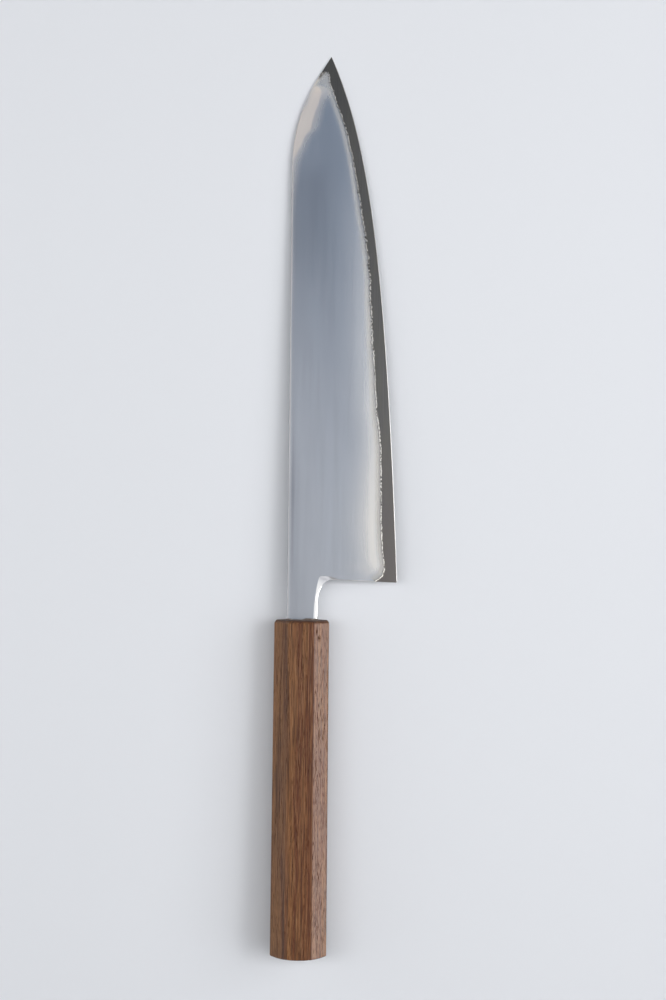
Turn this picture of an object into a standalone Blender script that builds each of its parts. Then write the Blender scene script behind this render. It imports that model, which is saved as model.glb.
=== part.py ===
"""Gyuto, a Japanese chef's knife, with a three-layer blade and an eight-sided wooden handle.

Metres, +Z up. The knife lies on its side on the flat facet of its handle: +X runs to the tip, the
cutting edge is at -Y, and the blade stands level, halfway up the handle. The pieces are drawn from the
centre of the handle's front face, and an empty places that point so that the origin is under the middle
of the whole knife, on the surface it lies on.
"""

import math

import bmesh
import bpy

# Blade outline, seen from the side. Heights are from the handle's axis.
EDGE_LENGTH = 0.23935  # heel corner to tip, along the axis
NECK_LENGTH = 0.0175  # handle to heel corner
HEEL_DROP = 0.04317  # heel corner below the axis
HEEL_LEAN = 0.0011  # the heel line leans this far towards the tip at the choil
EDGE_FLAT = 0.010  # straight stretch of edge ahead of the heel
EDGE_RISE = 0.0463  # slope of that stretch
EDGE_PULL_HEEL = 0.139  # how far the curve holds the straight stretch's slope
EDGE_PULL_TIP = 0.037  # how far the curve holds the tip's slope
TIP_SLOPE = 0.459
TIP_DROP = 0.01063  # tip below the axis
TIP_LAND = 0.0002  # the very point is blunted by this much
SPINE_HEIGHT = 0.00673  # straight spine above the axis
SPINE_FALL = 0.0503  # length over which the spine falls to the tip
SPINE_TIP_SLOPE = 0.62  # it falls along an arc, then straight at this slope
NECK_DROP = 0.00687  # underside of the neck below the axis, at the handle
NECK_FLARE = 0.0004  # the underside drops by this much before the choil
CHOIL_LENGTH = 0.0106
CHOIL_HEIGHT = 0.0067
CHOIL_PULL_HEEL = 0.55  # share of the height up to which the choil follows the heel line
CHOIL_PULL_NECK = 0.62  # share of the length at which it joins the neck's line

# Blade thickness.
NECK_THICKNESS = 0.0030
TIP_THICKNESS = 0.0006
TAPER_POWER = 2.2  # how late the blade thins towards the tip
GRIND_POWER = 2.2  # how convex the ground face is
SPINE_ROUND = 0.0005
CORE_THICKNESS = 0.0006
SHOULDER = 0.00022  # thickness just behind the cutting bevel
BEVEL_HEIGHT = 0.0005
EDGE_LAND = 0.00004
POINT_BEVEL = 0.3  # at the very point, the bevel's share of what is left of the height
POINT_FLANK = 0.8  # and the share at which the flank meets the flat of the core

# Exposed band of core steel along the edge.
BAND_HEIGHT = 0.0047
BAND_WAVES = ((0.00065, 0.200, 0.032), (-0.00065, 0.094, 0.070), (-0.00062, 0.079, 0.047))
CLAD_FOOT = 0.00005  # thickness to which the cladding is ground out at the band
CLAD_HEEL_LENGTH = 0.0066
CLAD_HEEL_RISE = 0.0046
CLAD_TIP_LENGTH = 0.0020
CLAD_TIP_SETBACK = 0.0078  # bare core ahead of the cladding, at the tip
WELD_GAP = 0.00002  # between the layers, which are forge-welded

# Facet ground on each side of the neck, above the finger.
FACET_WIDTH = 0.0018  # along the neck
FACET_DEPTH = 0.0008  # at the underside
FACET_OVERRUN = 0.0012  # the facet's corner lies this far past the heel line
FACET_FALL = 0.0005  # and this far below the neck's underside
FACET_END = 0.0002  # width to which it fades at the heel line

# Tang.
TANG_LENGTH = 0.105
TANG_END_HEIGHT = 0.0052
TANG_END_THICKNESS = 0.0020

# Handle.
HANDLE_LENGTH = 0.1543  # to the crown of the domed butt
HANDLE_THICKNESS = 0.0200
HANDLE_CORNER = 0.00668  # each corner facet, across and down
FLAT_FRONT = 0.0115  # width of the wide facets at the blade
FLAT_BUTT = 0.0123  # and at the butt
FRONT_CHAMFER = 0.0010
EDGE_SOFTENING = 0.0004  # width of the eased corners between facets
SOFTENED_ANGLE = 40  # degrees. Sharper corners are eased
BUTT_RADIUS = 0.045  # the butt is domed like a ball of this radius

# Bedding resin and the bead at the mouth.
BEDDING_WALL = 0.0008
FIT_GAP = 0.0001
SEAL_DEPTH = 0.0010
SEAL_PROUD = 0.0005
SEAL_CREST = 0.4  # share of the wall left at the bead's crest

# Shading. Edges sharper than these many degrees stay crisp.
STEEL_CREASE = 3
ROUND_CREASE = 25
SEAL_CREASE = 40

# How finely the curves are cut.
BLADE_STEPS = 56
END_STEPS = 5
GRIND_STEPS = 6
GRIND_SPACING = 1.5  # above 1, the steps are closer together near the band
ROUND_STEPS = 3
CHOIL_STEPS = 18
FACET_STEPS = 4
BUTT_STEPS = 4
BUTT_CENTRE = 0.08  # the dome's innermost ring, as a share of the outermost
SEAL_STEPS = 3

HEEL_X = NECK_LENGTH
TIP_X = HEEL_X + EDGE_LENGTH
CLAD_END_X = TIP_X - CLAD_TIP_SETBACK
CHOIL_X = HEEL_X + HEEL_LEAN
BLUNT_TIP_X = TIP_X - TIP_LAND
PAST = 0.0020  # how far cutters pass the piece they cut

COLLECTION = "gyuto_knife"


def mix(a, b, share):
    return a + (b - a) * share


def bezier(a, b, c, d, t):
    """A point of a cubic curve, for numbers."""
    return (1 - t) ** 3 * a + 3 * t * (1 - t) ** 2 * b + 3 * t * t * (1 - t) * c + t**3 * d


def edge_y(x):
    """The cutting edge: straight ahead of the heel, then one curve to the tip."""
    start = HEEL_X + EDGE_FLAT
    start_y = -HEEL_DROP + EDGE_RISE * EDGE_FLAT
    if x <= start:
        return start_y + EDGE_RISE * (x - start)
    xs = (start, start + EDGE_PULL_HEEL, TIP_X - EDGE_PULL_TIP, TIP_X)
    ys = (start_y, start_y + EDGE_RISE * EDGE_PULL_HEEL, -TIP_DROP - TIP_SLOPE * EDGE_PULL_TIP, -TIP_DROP)
    low, high = 0.0, 1.0
    for _ in range(50):
        middle = (low + high) / 2
        if bezier(*xs, middle) < x:
            low = middle
        else:
            high = middle
    return bezier(*ys, (low + high) / 2)


def spine_y(x):
    """The spine: tapered on the tang, straight on the blade, then an arc and a straight run to the tip."""
    if x < 0:
        return mix(SPINE_HEIGHT, TANG_END_HEIGHT / 2, -x / TANG_LENGTH)
    run = x - (TIP_X - SPINE_FALL)
    if run <= 0:
        return SPINE_HEIGHT
    turn = math.atan(SPINE_TIP_SLOPE)
    spare = SPINE_TIP_SLOPE * SPINE_FALL - SPINE_HEIGHT - TIP_DROP
    radius = spare / (SPINE_TIP_SLOPE * math.sin(turn) - 1 + math.cos(turn))
    if run > radius * math.sin(turn):
        return -TIP_DROP + SPINE_TIP_SLOPE * (SPINE_FALL - run)
    return SPINE_HEIGHT - radius + math.sqrt(radius**2 - run**2)


def neck_y(x):
    """The underside of the tang and the neck, as far as the choil."""
    if x < 0:
        return mix(-NECK_DROP, -TANG_END_HEIGHT / 2, -x / TANG_LENGTH)
    return -NECK_DROP - NECK_FLARE * x / (CHOIL_X - CHOIL_LENGTH)


def thickness(x):
    """Thickness at the spine: even on the neck, thinner towards the tip and along the tang."""
    if x < 0:
        return mix(NECK_THICKNESS, TANG_END_THICKNESS, -x / TANG_LENGTH)
    share = max(0.0, (x - HEEL_X) / EDGE_LENGTH)
    return mix(NECK_THICKNESS, TIP_THICKNESS, share**TAPER_POWER)


def core_half(x):
    """Half the core's thickness. It thins more slowly than the blade, as a forged core does."""
    return CORE_THICKNESS / 2 * math.sqrt(thickness(x) / NECK_THICKNESS)


def quarter(share):
    """Rises from 0 to 1 along a quarter circle."""
    share = min(max(share, 0.0), 1.0)
    return 1 - math.sqrt(1 - share**2)


def band_height(x):
    """Height of bare core steel above the edge. It wavers, and the cladding's two ends are rounded."""
    height = BAND_HEIGHT
    for swing, length, start in BAND_WAVES:
        height += swing * math.sin(2 * math.pi * (x - start) / length)
    height += CLAD_HEEL_RISE * quarter((CHOIL_X + CLAD_HEEL_LENGTH - x) / CLAD_HEEL_LENGTH)
    reach = spine_y(x) - edge_y(x)
    end = quarter((x - CLAD_END_X + CLAD_TIP_LENGTH) / CLAD_TIP_LENGTH)
    return mix(height, reach - CLAD_FOOT, end)


def spaced(first, last, steps):
    return [mix(first, last, step / steps) for step in range(steps)]


def cladding_places():
    """Where the layers' sections stand, from the end of the tang to the end of the cladding."""
    heel_end = CHOIL_X + CLAD_HEEL_LENGTH
    tip_start = CLAD_END_X - CLAD_TIP_LENGTH
    places = [-TANG_LENGTH, -TANG_LENGTH / 2, 0.0, HEEL_X / 2]
    places += spaced(HEEL_X, heel_end, END_STEPS)
    places += spaced(heel_end, tip_start, BLADE_STEPS)
    rounded = [math.sin(math.pi / 2 * step / END_STEPS) for step in range(END_STEPS + 1)]
    return places + [mix(tip_start, CLAD_END_X, share) for share in rounded]


def core_section(x):
    """Bevel, thin flank and the flat-sided core between the claddings."""
    low, high, half = edge_y(x), spine_y(x), core_half(x)
    reach = high - low
    bevel = min(BEVEL_HEIGHT, POINT_BEVEL * reach)
    flank = band_height(x)
    if x > CLAD_END_X:
        flank = min(flank, POINT_FLANK * reach)
    side = [(low, EDGE_LAND / 2), (low + bevel, SHOULDER / 2), (low + flank, half), (high, half)]
    return [(x, y, z) for y, z in side] + [(x, y, -z) for y, z in reversed(side)]


def face_half(x, share):
    """Half thickness on the ground face, at a share of the way from the band to the spine."""
    foot = core_half(x) + WELD_GAP + CLAD_FOOT
    return mix(foot, thickness(x) / 2, 1 - (1 - share) ** GRIND_POWER)


def cladding_section(x, side):
    """One cladding: flat against the core, convex outside, rounded at the spine."""
    low, high = edge_y(x) + band_height(x), spine_y(x)
    inner = core_half(x) + WELD_GAP
    outer = thickness(x) / 2
    corner = min(SPINE_ROUND, (outer - inner) / 2, (high - low) / 2)
    outline = [(low, inner)]
    for step in range(GRIND_STEPS):
        share = (step / GRIND_STEPS) ** GRIND_SPACING
        outline.append((mix(low, high - corner, share), face_half(x, share)))
    for step in range(ROUND_STEPS + 1):
        angle = math.pi / 2 * step / ROUND_STEPS
        outline.append((high - corner + corner * math.sin(angle), outer - corner + corner * math.cos(angle)))
    outline.append((high, inner))
    return [(x, y, side * z) for y, z in outline]


def tang_ring(x, spread):
    """The tang's rectangle at x, grown by spread on every side. Past the handle's face it stays as there."""
    at = min(x, 0.0)
    low, high = neck_y(at) - spread, spine_y(at) + spread
    half = thickness(at) / 2 + spread
    return [(x, low, -half), (x, high, -half), (x, high, half), (x, low, half)]


def handle_outline(share, inset):
    """The handle's eight sides at a share of its length, drawn in by inset, each cut into short steps."""
    flat = mix(FLAT_FRONT, FLAT_BUTT, share) / 2
    half_width = flat + HANDLE_CORNER - inset
    half_height = HANDLE_THICKNESS / 2 - inset
    shrink = inset * math.tan(math.pi / 8)
    flat -= shrink
    side = HANDLE_THICKNESS / 2 - HANDLE_CORNER - shrink
    upper = [(half_width, side), (flat, half_height), (-flat, half_height), (-half_width, side)]
    corners = upper + [(y, -z) for y, z in reversed(upper)]
    outline = []
    for (y, z), (next_y, next_z) in zip(corners, corners[1:] + corners[:1]):
        steps = [step / FACET_STEPS for step in range(FACET_STEPS)]
        outline += [(mix(y, next_y, step), mix(z, next_z, step)) for step in steps]
    return outline


def butt_section(share):
    """A ring on the domed butt, at a share of the way from its crown to its rim."""
    ring = [(y * share, z * share) for y, z in handle_outline(1.0, 0.0)]
    return [((y * y + z * z) / (2 * BUTT_RADIUS) - HANDLE_LENGTH, y, z) for y, z in ring]


def material(name, colour, roughness, metallic):
    made = bpy.data.materials.new(name)
    made.use_nodes = True
    shader = made.node_tree.nodes["Principled BSDF"]
    shader.inputs["Base Color"].default_value = (*colour, 1.0)
    shader.inputs["Roughness"].default_value = roughness
    shader.inputs["Metallic"].default_value = metallic
    made.diffuse_color = (*colour, 1.0)
    return made


def add_object(name, mesh, collection, parent):
    made = bpy.data.objects.new(name, mesh)
    collection.objects.link(made)
    made.parent = parent
    return made


def loft(name, sections, collection, parent):
    """A closed solid through sections that have equal numbers of points."""
    shape = bmesh.new()
    rings = [[shape.verts.new(point) for point in section] for section in sections]
    count = len(rings[0])
    for ring, after in zip(rings, rings[1:]):
        for i in range(count):
            j = (i + 1) % count
            shape.faces.new((ring[i], ring[j], after[j], after[i]))
    shape.faces.new(rings[0])
    shape.faces.new(rings[-1])
    bmesh.ops.recalc_face_normals(shape, faces=shape.faces)
    mesh = bpy.data.meshes.new(name)
    shape.to_mesh(mesh)
    shape.free()
    return add_object(name, mesh, collection, parent)


def slab(name, outline, half_depth, collection, parent):
    """A flat outline in X and Y, thickened both ways, as a mesh."""
    curve = bpy.data.curves.new(name + "_outline", "CURVE")
    curve.dimensions = "2D"
    curve.fill_mode = "BOTH"
    curve.extrude = half_depth
    spline = curve.splines.new("POLY")
    spline.points.add(len(outline) - 1)
    for point, (x, y) in zip(spline.points, outline):
        point.co = (x, y, 0.0, 1.0)
    spline.use_cyclic_u = True
    drawn = add_object(name + "_outline", curve, collection, None)
    bpy.context.view_layer.update()
    mesh = bpy.data.meshes.new_from_object(drawn.evaluated_get(bpy.context.evaluated_depsgraph_get()))
    mesh.name = name
    shape = bmesh.new()
    shape.from_mesh(mesh)
    bmesh.ops.remove_doubles(shape, verts=shape.verts, dist=0.000001)
    bmesh.ops.recalc_face_normals(shape, faces=shape.faces)
    shape.to_mesh(mesh)
    shape.free()
    bpy.data.objects.remove(drawn)
    return add_object(name, mesh, collection, parent)


def hide_cutter(cutter):
    cutter.hide_render = True
    cutter.display_type = "WIRE"


def cut(piece, *cutters):
    for cutter in cutters:
        hide_cutter(cutter)
        boolean = piece.modifiers.new(cutter.name, "BOOLEAN")
        boolean.operation = "DIFFERENCE"
        boolean.solver = "EXACT"
        boolean.object = cutter


def finish(piece, look, crease_degrees):
    piece.data.materials.append(look)
    piece.data.shade_smooth()
    piece.data.set_sharp_from_angle(angle=math.radians(crease_degrees))


def choil_points():
    """The curve from the heel line up and back to the neck's underside."""
    back = CHOIL_X - CHOIL_LENGTH
    top, bottom = neck_y(back), neck_y(back) - CHOIL_HEIGHT
    xs = (CHOIL_X, CHOIL_X, back + CHOIL_LENGTH * CHOIL_PULL_NECK, back)
    ys = (bottom, bottom + CHOIL_HEIGHT * CHOIL_PULL_HEEL, top, top)
    shares = [step / CHOIL_STEPS for step in range(CHOIL_STEPS + 1)]
    return [(bezier(*xs, share), bezier(*ys, share)) for share in shares]


def build_neck_cutter(cutters, parent):
    """Everything below the tang, the neck and the choil, back from the heel line."""
    depth = PAST - edge_y(-TANG_LENGTH)
    choil = choil_points()
    lean = HEEL_LEAN / (HEEL_DROP + choil[0][1])
    end = -TANG_LENGTH - PAST
    outline = [(end, -depth), (HEEL_X - lean * (depth - HEEL_DROP), -depth)]
    outline += choil
    outline += [(0.0, neck_y(0.0)), (end, neck_y(end))]
    return slab("neck_cutter", outline, NECK_THICKNESS, cutters, parent)


def facet_lines():
    """Points down the heel line, choil and neck, each with its point on the facet's upper line."""
    choil = choil_points()
    back_x, back_y = choil[-1]
    start_x, start_y = choil[0]
    start = (start_x + FACET_END, start_y)
    corner = (CHOIL_X + FACET_OVERRUN, back_y - FACET_FALL)
    end = (back_x, back_y + FACET_WIDTH)
    turn = CHOIL_STEPS // 2
    uppers = [(mix(start[0], corner[0], i / turn), mix(start[1], corner[1], i / turn)) for i in range(turn)]
    rest = CHOIL_STEPS - turn
    uppers += [(mix(corner[0], end[0], i / rest), mix(corner[1], end[1], i / rest)) for i in range(rest + 1)]
    inside = -SEAL_DEPTH - FIT_GAP
    lowers = choil + [(0.0, neck_y(0.0)), (inside, neck_y(inside))]
    uppers += [(0.0, neck_y(0.0) + FACET_WIDTH), (inside, neck_y(inside) + FACET_WIDTH)]
    return list(zip(lowers, uppers))


def build_facet_cutter(side, cutters, parent):
    """The wedge that leaves the slanted facet beside the neck's underside and the choil."""
    sections = []
    for lower, upper in facet_lines():
        low, high = edge_y(upper[0]) + band_height(upper[0]), spine_y(upper[0])
        face = face_half(upper[0], (upper[1] - low) / (high - low))
        width = math.dist(lower, upper)
        depth = FACET_DEPTH * min(1.0, width / FACET_WIDTH)
        raised, sunk = -PAST, width + PAST
        wedge = []
        for along, height in ((raised, -raised * depth / width), (sunk, -sunk * depth / width), (sunk, PAST)):
            x = mix(upper[0], lower[0], along / width)
            y = mix(upper[1], lower[1], along / width)
            wedge.append((x, y, side * (face + height)))
        sections.append(wedge)
    name = "facet_cutter_upper" if side > 0 else "facet_cutter_lower"
    return loft(name, sections, cutters, parent)


def build_blade(parts, cutters, parent, looks):
    neck_cutter = build_neck_cutter(cutters, parent)
    places = cladding_places()
    bare = [mix(CLAD_END_X, BLUNT_TIP_X, (step + 1) / END_STEPS) for step in range(END_STEPS)]
    core = loft("core_steel", [core_section(x) for x in places + bare], parts, parent)
    cut(core, neck_cutter)
    finish(core, looks["core"], STEEL_CREASE)
    for side, name in ((1, "cladding_upper"), (-1, "cladding_lower")):
        facet_cutter = build_facet_cutter(side, cutters, parent)
        layer = loft(name, [cladding_section(x, side) for x in places], parts, parent)
        cut(layer, neck_cutter, facet_cutter)
        finish(layer, looks["cladding"], ROUND_CREASE)


def build_handle(parts, cutters, parent, looks):
    sections = [[(0.0, y, z) for y, z in handle_outline(0.0, FRONT_CHAMFER)]]
    sections.append([(-FRONT_CHAMFER, y, z) for y, z in handle_outline(0.0, 0.0)])
    sections += [butt_section(mix(1.0, BUTT_CENTRE, step / BUTT_STEPS)) for step in range(BUTT_STEPS + 1)]
    handle = loft("handle_body", sections, parts, parent)
    eased = handle.modifiers.new("eased_corners", "BEVEL")
    eased.width = EDGE_SOFTENING
    eased.segments = 2
    eased.limit_method = "ANGLE"
    eased.angle_limit = math.radians(SOFTENED_ANGLE)
    floor = -TANG_LENGTH - BEDDING_WALL
    bore = loft("bore_cutter", [tang_ring(x, BEDDING_WALL) for x in (PAST, 0.0, floor)], cutters, parent)
    cut(handle, bore)
    finish(handle, looks["wood"], ROUND_CREASE)


def build_bedding(parts, cutters, parent, looks):
    wall = BEDDING_WALL - FIT_GAP
    back = -TANG_LENGTH - wall
    front = -SEAL_DEPTH - FIT_GAP
    bedding = loft("tang_bedding", [tang_ring(front, wall), tang_ring(back, wall)], parts, parent)
    pocket_back = -TANG_LENGTH - FIT_GAP
    places = (PAST, 0.0, pocket_back)
    pocket = loft("pocket_cutter", [tang_ring(x, FIT_GAP) for x in places], cutters, parent)
    cut(bedding, pocket)
    finish(bedding, looks["resin"], ROUND_CREASE)


def build_seal(parts, cutters, parent, looks):
    wall = BEDDING_WALL - FIT_GAP
    rings = [tang_ring(-SEAL_DEPTH, wall)]
    for step in range(SEAL_STEPS + 1):
        angle = math.pi / 2 * step / SEAL_STEPS
        rings.append(tang_ring(SEAL_PROUD * math.sin(angle), wall * mix(SEAL_CREST, 1.0, math.cos(angle))))
    seal = loft("mouth_seal", rings, parts, parent)
    places = (PAST, 0.0, -SEAL_DEPTH - PAST)
    hole = loft("seal_cutter", [tang_ring(x, FIT_GAP) for x in places], cutters, parent)
    cut(seal, hole)
    finish(seal, looks["sealant"], SEAL_CREASE)


def clear_scene():
    for item in list(bpy.data.objects):
        bpy.data.objects.remove(item)


def main():
    clear_scene()
    parts = bpy.data.collections.new(COLLECTION)
    cutters = bpy.data.collections.new("cutters")
    for group in (parts, cutters):
        bpy.context.scene.collection.children.link(group)
    origin = bpy.data.objects.new("handle_front_centre", None)
    parts.objects.link(origin)
    half_width = FLAT_BUTT / 2 + HANDLE_CORNER
    middle_x = (BLUNT_TIP_X - HANDLE_LENGTH) / 2
    middle_y = (half_width - HEEL_DROP) / 2
    origin.location = (-middle_x, -middle_y, HANDLE_THICKNESS / 2)
    looks = {
        "core": material("core_steel", (0.15, 0.145, 0.14), 0.45, 1.0),
        "cladding": material("cladding_steel", (0.60, 0.61, 0.63), 0.28, 1.0),
        "wood": material("walnut", (0.17, 0.08, 0.042), 0.55, 0.0),
        "resin": material("bedding_resin", (0.45, 0.33, 0.18), 0.4, 0.0),
        "sealant": material("sealant", (0.30, 0.25, 0.22), 0.5, 0.0),
    }
    build_blade(parts, cutters, origin, looks)
    build_handle(parts, cutters, origin, looks)
    build_bedding(parts, cutters, origin, looks)
    build_seal(parts, cutters, origin, looks)


main()
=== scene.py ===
"""Looks of the gyuto: fine blade layers, a bead at the handle's mouth, walnut, floor, light and camera.

The scene is in metres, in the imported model's frame. The blade and bead are drawn in millimetres, in the
knife's own coordinates: x ahead of the handle's front face, y up from the handle's axis towards the spine,
z out from the blade's middle plane. Each steel layer is a sheet of columns, each from foot to head.
"""

import math
from functools import partialmethod

import bmesh
import bpy
import numpy as np
from mathutils import Matrix, Vector, noise


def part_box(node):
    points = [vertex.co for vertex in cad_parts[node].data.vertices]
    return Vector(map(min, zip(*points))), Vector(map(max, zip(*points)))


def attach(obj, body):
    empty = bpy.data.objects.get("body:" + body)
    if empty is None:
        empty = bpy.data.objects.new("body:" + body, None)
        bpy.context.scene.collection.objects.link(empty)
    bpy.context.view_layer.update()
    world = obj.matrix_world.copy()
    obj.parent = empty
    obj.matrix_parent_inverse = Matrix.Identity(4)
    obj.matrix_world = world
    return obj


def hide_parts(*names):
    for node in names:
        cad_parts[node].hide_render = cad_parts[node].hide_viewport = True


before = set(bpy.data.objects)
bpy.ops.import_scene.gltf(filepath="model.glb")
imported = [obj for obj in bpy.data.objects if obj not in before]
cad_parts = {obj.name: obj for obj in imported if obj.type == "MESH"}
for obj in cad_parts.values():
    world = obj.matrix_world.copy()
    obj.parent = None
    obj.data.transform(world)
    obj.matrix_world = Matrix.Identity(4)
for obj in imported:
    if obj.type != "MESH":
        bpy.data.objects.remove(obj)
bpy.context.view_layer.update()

MM = 0.001

# Blade outline. Its main lengths come from the frame, and the rest is as in the solids, but for the
# neck, which flares less.
HANDLE_LOW, HANDLE_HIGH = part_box("handle_body")
CORE_LOW, CORE_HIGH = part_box("core_steel")
ORIGIN = Vector((HANDLE_HIGH.x, (HANDLE_LOW.y + HANDLE_HIGH.y) / 2, (HANDLE_LOW.z + HANDLE_HIGH.z) / 2))
TIP_LAND = 0.2
TIP_X = (CORE_HIGH.x - ORIGIN.x) / MM + TIP_LAND
TANG_LENGTH = (ORIGIN.x - CORE_LOW.x) / MM
SPINE_HEIGHT = (CORE_HIGH.y - ORIGIN.y) / MM
HEEL_DROP = (ORIGIN.y - CORE_LOW.y) / MM
HEEL_X = 17.5
HEEL_LEAN = 1.1
EDGE_FLAT = 10.0
EDGE_RISE = 0.0463
EDGE_PULL_HEEL = 139.0
EDGE_PULL_TIP = 37.0
TIP_SLOPE = 0.459
TIP_DROP = 10.63
SPINE_FALL = 50.3
SPINE_TIP_SLOPE = 0.62
NECK_DROP = 6.87
NECK_FLARE = 0.22
CHOIL_LENGTH = 10.6
CHOIL_HEIGHT = 6.7
CHOIL_PULL_HEEL = 0.55
CHOIL_PULL_NECK = 0.62
TANG_END_HEIGHT = 5.2
TANG_END_THICKNESS = 2.0
CHOIL_X = HEEL_X + HEEL_LEAN
CHOIL_BACK = CHOIL_X - CHOIL_LENGTH

# Blade thickness.
NECK_THICKNESS = 3.0
TIP_THICKNESS = 0.6
TAPER_POWER = 2.2
GRIND_POWER = 2.2
LEAST_FACE = 0.5  # the grind is drawn as on a face at least this high
SPINE_ROUND = 0.2
SPINE_SLOPE = 0.10  # of the narrow chamfer along the spine
CHAMFER_PLACES = (20, 110, 140, 180)
CHAMFER_WIDTHS = (1.0, 0.85, 0.65, 0.6)
SPINE_EASE = 0.045  # further on, the face also rolls off towards the spine
SPINE_EASE_WIDTH = 3.4
SPINE_EASE_START = (125.0, 165.0)
CORE_THICKNESS = 0.6
SHOULDER = 0.22
BEVEL_HEIGHT = 0.18
BEVEL_SHARE = 0.3  # of the blade's height at most, near the tip
FLANK_END = 0.5  # the flank is full this far below the weld line
FLANK_SHARE = 0.8
FLANK_SWELL = 0.5
LEAST_REACH = 0.05
EDGE_LAND = 0.04
WELD_GAP = 0.02
CLAD_FOOT = 0.06
THINNEST = 0.03  # the cladding is nowhere thinner than this
ROLL_DEPTH = 0.05  # the face is ground a little hollow beside the weld line
ROLL_PLACE = 2.5

# Band of bare core: its waves' swings, lengths and starts, and how far the weld line strays from them.
BAND_HEIGHT = 4.7
BAND_WAVES = ((0.65, 200.0, 32.0), (-0.65, 94.0, 70.0), (-0.62, 79.0, 47.0))
STRAY_START = HEEL_X + 7.5
STRAY_STEP = 10.0
STRAYS = (
    (0.1, 0.2, 0.3, 0.2, 0.35, 0.15, 0.15, 0.6, 0.2, -0.05, 0.3, 0.25)
    + (0.45, 0.0, -0.05, 0.05, 0.3, 0.35, 0.35, 0.2, 0.0, 0.15, -0.05)
)
JAGS = ((0.32, 0.6), (0.22, 1.5), (0.18, 5.0))  # how far the line is jagged, over what length
JAGS_APART = 50  # keeps their noises apart
JAGS_FADE = 2.0  # at the line's ends
JAGS_BY_HEEL = 0.5  # what is left of them by the heel
JAGS_GROW = (60.0, 150.0)
CLAD_START_X = CHOIL_X + 6.6
CLAD_HEEL_RISE = 5.3
CORNER_CUT = 0.8
CLAD_BEND_X = 245.2  # here the weld line turns up to the spine, round the cladding's blunt end
CLAD_END_PULLS = ((247.2, -10.12), (249.75, -10.67))
CLAD_END_TOP = (249.95, -8.07)
CLAD_END_SPINE = (249.62, -6.45)

# Facet beside the neck's underside, from its upper line down.
FACET_LINE = ((-3.0, -5.05), (0.0, -5.07), (6.2, -5.47), (14.5, -6.51), (19.3, -7.5), (20.1, -8.0))
FACET_LINE += ((20.2, -9.5), (20.0, -12.5), (19.4, -16.0), (18.4, -19.5))
FACET_DEPTH = 0.72
FACET_HOLLOWS = (1.0, 1.25)  # beside the neck, and beside the choil
FACET_TURN = (0.2, 0.8)  # shares of the choil, from the neck's end
FACET_SOFTNESS = (1.5, 1.0)  # of its upper line, by the handle and ahead
FACET_CRISP = (2.0, 10.0)
FACET_FADES = ((0.50, 0.45, 0.8), (0.75, 0.84, 1.0))  # what it loses, between which shares of the choil
FACET_END = 0.12  # it is gone at this share of the heel line
RIM = 0.4  # the choil's and the neck's edges are eased over this width
RIM_DROP = 0.13
RIM_FADE = (0.85, 0.8, 1.0)  # the same for the eased edge

# The soft pale band beside the weld line, a painted highlight on a hazier finish, at places along the
# blade: its long side towards the spine, the crest on it, and how soon it rises from the line.
HAZE_PLACES = (20, 45, 82, 118, 137, 155, 173, 191, 205, 250)
TAIL_HEIGHTS = (0.72, 0.72, 0.66, 0.53, 0.48, 0.43, 0.31, 0.11, 0.02, 0.0)
TAIL_WIDTHS = (10.0, 11.0, 8.2, 9.5, 9.5, 9.0, 9.0, 10.0, 8.0, 8.0)
CREST_HEIGHTS = (0.20, 0.22, 0.10, 0.06, 0.10, 0.10, 0.15, 0.38, 0.48, 0.44)
HAZE_RISES = (2.9, 2.9, 2.1, 1.6, 1.0, 1.3, 1.2, 1.5, 1.3, 1.0)
HAZE_SHAPES = (TAIL_HEIGHTS, TAIL_WIDTHS, CREST_HEIGHTS, HAZE_RISES)
HAZE_CLEAR = 0.85  # how much of it is missing at the line
CREST_TURN = (60.0, 130.0)  # between these places the crest draws nearer the line, and narrower
CREST_OFFSETS = (4.2, 2.1)
CREST_WIDTHS = (2.0, 1.25)
CREST_SHIFT, CREST_SHIFT_TURN = 0.55, (190.0, 215.0)  # further on it draws nearer once more
TIP_HAZE, TIP_HAZE_TURN = 0.38, (236.0, 243.0)
HAZE_AT_HEEL, HAZE_FROM_HEEL = 0.25, (1.0, 8.5)  # what is left of it at the heel line
HEEL_TRACE, HEEL_TRACE_TURN = 0.08, (-12.0, -17.0)  # a painted highlight right beside the heel line
HEEL_TRACE_WIDTH = 1.0

# Painted shade in a strip beside the spine, by the handle: its middle below the spine and its half width.
SPINE_SHADE_STRIP = (1.9, 0.75)
SPINE_SHADE_PLACES = (10, 32, 45, 59, 73, 86, 100, 125)
SPINE_SHADE_LEVELS = (0.2, 0.8, 1.0, 1.3, 1.05, 0.5, 0.2, 0.0)

# Fainter shades beside it: a wide one by the handle, a second strip, and a wide one on the far half.
NEAR_SHADE, NEAR_END, NEAR_DEPTH = 0.25, (55.0, 75.0), (5.0, 14.0)
SECOND_SHADE, SECOND_END, SECOND_STRIP = 0.3, (68.0, 85.0), (3.4, 1.6)
FAR_SHADE, FAR_START, FAR_END, FAR_DEPTH = 0.8, (135.0, 180.0), (196.0, 216.0), (10.0, 24.0)

# Where the cladding is rubbed through, beside its blunt end.
WORN_START, WORN_DEPTH = (246.0, 247.6), (0.9, 1.7)
WORN_END, WORN_END_START = 0.5, (247.4, 249.6)

# Pale patch on the spine side of the tip: its reach below the spine, at places along the blade.
PATCH_PLACES = (185, 208, 213, 216, 219, 221, 223, 225, 229, 232, 235, 238, 240.5, 242, 243, 244)
PATCH_REACHES = (-3, 0.2, 2.0, 3.0, 3.8, 4.6, 6.2, 6.9, 6.7, 6.4, 6.3, 6.5, 5.7, 4.2, 2.0, -2.0)
PATCH_TOP = 0.9  # on the tip it stays this far below the spine
PATCH_TOP_TURN = (232.0, 237.0)
PATCH_TILT = 0.03  # how steeply it leans from the face, and over what depth that begins
PATCH_SOFT = 0.5

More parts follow.
